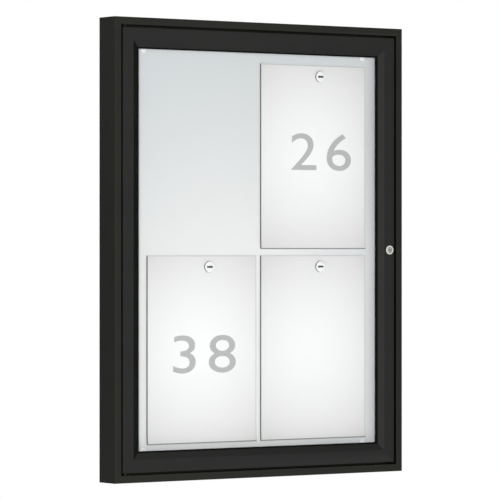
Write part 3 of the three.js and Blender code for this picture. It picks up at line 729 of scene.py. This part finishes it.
keyway = rectangle(width_mm=6.0, height_mm=1.2)
keyway_depth_mm = 7.0
spigot_mm = 5.6
spigot = rectangle(spigot_mm, spigot_mm)
screw_hole_mm = 8.3
screw_hole_radius_mm = 1.8
screw_hole_facets = 32
screw_hole_angles = [math.tau * i / screw_hole_facets for i in range(screw_hole_facets)]
screw_hole = [(screw_hole_radius_mm * math.cos(angle), screw_hole_radius_mm * math.sin(angle))
              for angle in screw_hole_angles]
plug_mm = 1000.0 * (plug_high.y - plug_low.y)
shoulder_mm = 1000.0 * (barrel_high.y - plug_low.y)
plug = turned_shell([(plug_radius_mm, 0.0), (plug_radius_mm, shoulder_mm)])
continue_shell(plug, [(keyway, 0.0), (keyway, keyway_depth_mm)])
continue_shell(plug, [(spigot, shoulder_mm), (spigot, plug_mm), (screw_hole, plug_mm),
                      (screw_hole, plug_mm - screw_hole_mm)])
settle(plug, front_middle("lock_plug"))
new_piece("darker_lock_plug", plug, darker_nickel, "lock", "lock_plug", lock_round_mm)

retainer_edge_mm = 0.3
copied_piece("plated_retaining_plate", "lock_retaining_plate", zinc_plate, "door",
             retainer_edge_mm)

# Cam: a stamped and galvanised steel tongue on the plug's square end, held by a pan head screw. It
# swings out behind the rim of the casing to lock.
cam_corner_segments = 10
cam_tip_round_mm = 3.5
cam_round_mm = 6.993  # a hair under half the cam's width, so that its two rounds don't meet
cam_hole_mm = 6.2
cam_edge_mm = 0.25
cam_low, cam_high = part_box("lock_cam")
cam_middle = front_middle("lock_plug")
cam_left = cam_low.x - cam_middle.x
cam_right = cam_high.x - cam_middle.x
bm = bmesh.new()
blank = [bm.verts.new(place) for place in (
    (cam_left, 0.0, cam_low.z), (cam_right, 0.0, cam_low.z),
    (cam_right, 0.0, cam_high.z), (cam_left, 0.0, cam_high.z))]
bm.faces.new(blank)
for blank_corners, radius_mm in ((blank[:2], cam_tip_round_mm), (blank[2:], cam_round_mm)):
    bmesh.ops.bevel(bm, geom=blank_corners, offset=radius_mm / 1000.0, segments=cam_corner_segments,
                    profile=0.5, affect="VERTICES", material=-1)
rim = bm.edges[:]
bmesh.ops.delete(bm, geom=bm.faces[:], context="FACES_ONLY")
hole = [bm.verts.new((across / 1000.0, 0.0, up / 1000.0))
        for across, up in rectangle(cam_hole_mm, cam_hole_mm)]
hole_edges = [bm.edges.new((hole[i - 1], hole[i])) for i in range(len(hole))]
bmesh.ops.triangle_fill(bm, edges=rim + hole_edges, use_beauty=True, normal=(0.0, 1.0, 0.0))
stamped = bmesh.ops.extrude_face_region(bm, geom=bm.faces[:])
stamped_verts = [item for item in stamped["geom"] if isinstance(item, bmesh.types.BMVert)]
bmesh.ops.translate(bm, verts=stamped_verts, vec=(0.0, cam_high.y - cam_low.y, 0.0))
settle(bm, (cam_middle.x, cam_low.y, cam_middle.z))
new_piece("stamped_lock_cam", bm, galvanised_sheet, "lock", "lock_cam",
          cam_edge_mm)

pan_mm = 1.4
pan_top_share = 0.85
pan_side_share = 0.5
low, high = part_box("lock_cam_screw")
length_mm = 1000.0 * (high.y - low.y)
pan_radius_mm = 500.0 * (high.x - low.x)
shank = thread(screw_shank_radius_mm, screw_tip_mm, length_mm - pan_mm - thread_margin_mm,
               screw_pitch_mm, screw_thread_mm)
cam_screw = turned_shell([
    (0.0, 0.0), (screw_tip_radius_mm, 0.0), *shank, (screw_shank_radius_mm, length_mm - pan_mm),
    (pan_radius_mm, length_mm - pan_mm), (pan_radius_mm, length_mm - pan_side_share * pan_mm),
    (pan_top_share * pan_radius_mm, length_mm)], screw_steps)
continue_shell(cam_screw, [(recess_mouth, length_mm), (recess_floor, length_mm - recess_depth_mm)])
settle(cam_screw, front_middle("lock_cam_screw"))
new_piece("pan_head_cam_screw", cam_screw, zinc_plate, "lock", "lock_cam_screw",
          screw_round_mm)

# Notices: three A4 sheets of matt card, printed whiter in the middle than at the corners and with a
# faint grey rule along the right and upper edges. Darker grey bands along the left and lower edges
# are painted shadow, drawn on the card, that stands for the shadow its curled edges would throw.
# Each hangs by one magnet, a little to the left, and its left and lower edges have curled slightly
# off the panel. The card's fibres are drawn coarser than they are.
card_thickness = 0.0004
card_columns = 24
card_rows = 34
curl_share = 0.12
left_curl = 0.0006
lower_curl = 0.0014
notices = ["upper_right", "lower_left", "lower_right"]
notice_shift = -0.0033
fibre_mm = 1.4
fibre_height_mm = 0.01
fade_reach = 0.182
fade_power = 1.7

# Each band's axis on the sheet, its side, its width and its grey: faint printed rules on the right
# and upper edges, and painted shadow on the left and lower edges
rules_and_painted_shadows = [("X", 1, 0.0011, "bfc2c3"), ("Y", 1, 0.0011, "bfc2c3"),
              ("X", -1, 0.0021, "424343"), ("Y", -1, 0.0018, "808181")]
printed_card, tree, coords = empty_material("printed_matt_card")
fibre = add_node(tree, "ShaderNodeTexNoise", {"Scale": 1000.0 / fibre_mm, "Detail": 3.0},
                 {"Vector": coords})
sheet_place = add_node(tree, "ShaderNodeUVMap", {"uv_map": "sheet"})
off_middle = add_node(tree, "ShaderNodeVectorMath", {"operation": "LENGTH"},
                      {0: sheet_place.outputs["UV"]})
corner_share = add_node(tree, "ShaderNodeMapRange", {"From Max": fade_reach},
                        {"Value": off_middle.outputs["Value"]})
corner_bend = add_node(tree, "ShaderNodeMath", {"operation": "POWER", 1: fade_power},
                       {0: corner_share.outputs[0]})
card_tint = add_node(tree, "ShaderNodeMix", {
    "data_type": "RGBA", 6: linear("fafbfb"), 7: linear("d8d8d7")}, {0: corner_bend.outputs[0]})
place_parts = add_node(tree, "ShaderNodeSeparateXYZ", None, {0: sheet_place.outputs["UV"]})
sheet_low, sheet_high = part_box("notice_sheet_lower_left")
half_sheet = {"X": (sheet_high.x - sheet_low.x) / 2.0, "Y": (sheet_high.z - sheet_low.z) / 2.0}
# The left and lower bands are painted shadow mixed into the card's colour; the right and upper ones
# are faint printed rules.
for axis, side, band_width, grey in rules_and_painted_shadows:
    towards_edge = add_node(tree, "ShaderNodeMath", {"operation": "MULTIPLY", 1: side},
                            {0: place_parts.outputs[axis]})
    in_band = add_node(tree, "ShaderNodeMath", {
        "operation": "GREATER_THAN", 1: half_sheet[axis] - band_width},
        {0: towards_edge.outputs[0]})
    card_tint = add_node(tree, "ShaderNodeMix", {"data_type": "RGBA", 7: linear(grey)},
                         {0: in_band.outputs[0], 6: card_tint.outputs[2]})
fibre_relief = add_node(tree, "ShaderNodeBump", {
    "Strength": 1.0, "Distance": fibre_height_mm / 1000.0}, {"Height": fibre.outputs["Fac"]})
card_face = add_node(tree, "ShaderNodeBsdfPrincipled", {
    "Roughness": 0.75, "Specular IOR Level": 0.25}, {
    "Base Color": card_tint.outputs[2], "Normal": fibre_relief.outputs[0]})
add_node(tree, "ShaderNodeOutputMaterial", None, {"Surface": card_face.outputs[0]})
for notice in notices:
    low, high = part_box("notice_sheet_" + notice)
    width = high.x - low.x
    height = high.z - low.z
    bm = bmesh.new()
    bmesh.ops.create_grid(bm, x_segments=card_columns, y_segments=card_rows, size=0.5)
    sheet_uv = bm.loops.layers.uv.new("sheet")
    for face in bm.faces:
        for loop in face.loops:
            loop[sheet_uv].uv = (loop.vert.co.x * width, loop.vert.co.y * height)
    for vert in bm.verts:
        across = vert.co.x + 0.5
        up = vert.co.y + 0.5
        from_left = max(0.0, 1.0 - across / curl_share)
        from_below = max(0.0, 1.0 - up / curl_share)
        lift = max(left_curl * from_left ** 2, lower_curl * from_below ** 2)
        vert.co = Vector((low.x + notice_shift + across * width, high.y - card_thickness - lift,
                          low.z + up * height))
    back = bmesh.ops.extrude_face_region(bm, geom=bm.faces[:])
    back_verts = [item for item in back["geom"] if isinstance(item, bmesh.types.BMVert)]
    bmesh.ops.translate(bm, verts=back_verts, vec=(0.0, card_thickness, 0.0))
    bmesh.ops.recalc_face_normals(bm, faces=bm.faces[:])
    for edge in bm.edges:
        edge.smooth = edge.calc_face_angle(0.0) < sharp_angle
    new_piece("card_" + notice, bm, printed_card, "root", "notice_sheet_" + notice)

# Magnets: a disc of grey ferrite under a moulded white cap with a low dome, and a black rubber
# strip let into the cap for the fingers. They hold by their own pull alone. The ferrite is pressed
# and sintered, dull, with a grain drawn coarser than it is.
ferrite_grain_mm = 0.8
ferrite_mm = 2.0
cap_face_mm = 6.6
cap_lip_mm = 0.3
cap_rise_mm = 0.45
cap_slope_share = 0.88
cap_slope_rise_share = 0.35
strip_width_mm = 10.8
strip_height_mm = 3.2
strip_recess_mm = 0.5
strip_sunk_mm = 0.1
strip_fit_mm = 0.1
strip_outline = rectangle(strip_width_mm, strip_height_mm)
strip_inner = rectangle(strip_width_mm - strip_fit_mm, strip_height_mm - strip_fit_mm)
magnet_round_mm = 0.15
sintered_ferrite, tree, coords = empty_material("sintered_grey_ferrite")
ferrite_grain = add_node(tree, "ShaderNodeTexNoise", {
    "Scale": 1000.0 / ferrite_grain_mm, "Detail": 3.0}, {"Vector": coords})
ferrite_tint = add_node(tree, "ShaderNodeMix", {
    "data_type": "RGBA", 6: linear("3c3e41"), 7: linear("505357")},
    {0: ferrite_grain.outputs["Fac"]})
ferrite = add_node(tree, "ShaderNodeBsdfPrincipled", {"Roughness": 0.6},
                   {"Base Color": ferrite_tint.outputs[2]})
add_node(tree, "ShaderNodeOutputMaterial", None, {"Surface": ferrite.outputs[0]})
for notice in notices:
    magnet_node = "notice_magnet_" + notice
    low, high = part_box(magnet_node)
    radius_mm = 500.0 * (high.x - low.x)
    thick_mm = 1000.0 * (high.y - low.y)
    joint_mm = thick_mm - ferrite_mm
    lip_radius_mm = radius_mm - cap_lip_mm
    disc = turned_shell([(0.0, joint_mm), (radius_mm, joint_mm), (radius_mm, thick_mm),
                         (0.0, thick_mm)])
    cap = turned_shell([(cap_face_mm, 0.0),
                        (cap_slope_share * radius_mm, cap_slope_rise_share * cap_rise_mm),
                        (lip_radius_mm, cap_rise_mm), (lip_radius_mm, joint_mm), (0.0, joint_mm)])
    continue_shell(cap, [(strip_outline, 0.0), (strip_outline, strip_recess_mm)])
    strip = bmesh.new()
    for distance in (strip_sunk_mm, strip_recess_mm):
        strip.faces.new([strip.verts.new((across / 1000.0, distance / 1000.0, up / 1000.0))
                         for across, up in strip_inner])
    bmesh.ops.bridge_loops(strip, edges=strip.edges[:])
    for kind, shell, finish, slot_name in (
            ("ferrite_", disc, sintered_ferrite, "steel"),
            ("capped_", cap, white_plastic, "white_plastic"),
            ("grip_strip_", strip, black_rubber, "black_rubber")):
        settle(shell, front_middle(magnet_node))
        new_piece(kind + magnet_node, shell, finish, "root", magnet_node,
                  magnet_round_mm)

# Numbers: plain grey numerals on two of the sheets, printed with a dull grey ink that dries in a
# thin even layer. The layer stands a hair proud of the card.
numeral_height = 0.060
numeral_width = 0.120
numeral_proud = 0.00005
numeral_depth = 0.00004
numeral_spacing = 1.2
numeral_curve_steps = 8
numeral_merge = 1e-5
grey_ink, tree, coords = empty_material("grey_printing_ink")
ink_spread = add_node(tree, "ShaderNodeTexNoise", {"Scale": 1000.0 / fibre_mm, "Detail": 2.0},
                      {"Vector": coords})
ink_tint = add_node(tree, "ShaderNodeMix", {
    "data_type": "RGBA", 6: linear("b0b0b0"), 7: linear("b6b6b6")}, {0: ink_spread.outputs["Fac"]})
ink = add_node(tree, "ShaderNodeBsdfPrincipled", {"Roughness": 0.7, "Specular IOR Level": 0.25},
               {"Base Color": ink_tint.outputs[2]})
add_node(tree, "ShaderNodeOutputMaterial", None, {"Surface": ink.outputs[0]})

# Each number, and the place of its middle from the sheet's left edge and from its lower one
printed_numbers = {"upper_right": ("26", 0.118, 0.157), "lower_left": ("38", 0.107, 0.141)}
for notice, (number, from_left, from_bottom) in printed_numbers.items():
    text = bpy.data.curves.new("number_" + notice, "FONT")
    text.body = number
    text.resolution_u = numeral_curve_steps
    text.space_character = numeral_spacing
    text.extrude = 0.5
    setting = bpy.data.objects.new("setting_" + notice, text)
    bpy.context.scene.collection.objects.link(setting)
    bpy.context.view_layer.update()
    evaluated = setting.evaluated_get(bpy.context.evaluated_depsgraph_get())
    shape = bpy.data.meshes.new_from_object(evaluated)
    bpy.data.objects.remove(setting)
    bm = bmesh.new()
    bm.from_mesh(shape)
    bpy.data.meshes.remove(shape)
    bmesh.ops.remove_doubles(bm, verts=bm.verts[:], dist=numeral_merge)
    left, right = (edge(vert.co.x for vert in bm.verts) for edge in (min, max))
    bottom, top = (edge(vert.co.y for vert in bm.verts) for edge in (min, max))
    low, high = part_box("notice_sheet_" + notice)
    size = (numeral_width / (right - left), numeral_height / (top - bottom), numeral_depth)
    place = (low.x + from_left, low.y - numeral_proud, low.z + from_bottom)
    upright = Matrix.Rotation(math.radians(90.0), 3, "X")
    bmesh.ops.translate(bm, verts=bm.verts[:],
                        vec=(-(left + right) / 2.0, -(bottom + top) / 2.0, 0.0))
    bmesh.ops.scale(bm, verts=bm.verts[:], vec=size)
    bmesh.ops.rotate(bm, verts=bm.verts[:], cent=(0.0, 0.0, 0.0), matrix=upright)
    bmesh.ops.translate(bm, verts=bm.verts[:], vec=place)
    for edge in bm.edges:
        edge.smooth = edge.calc_face_angle(0.0) < sharp_angle
    new_piece("number_" + notice, bm, grey_ink, "root")
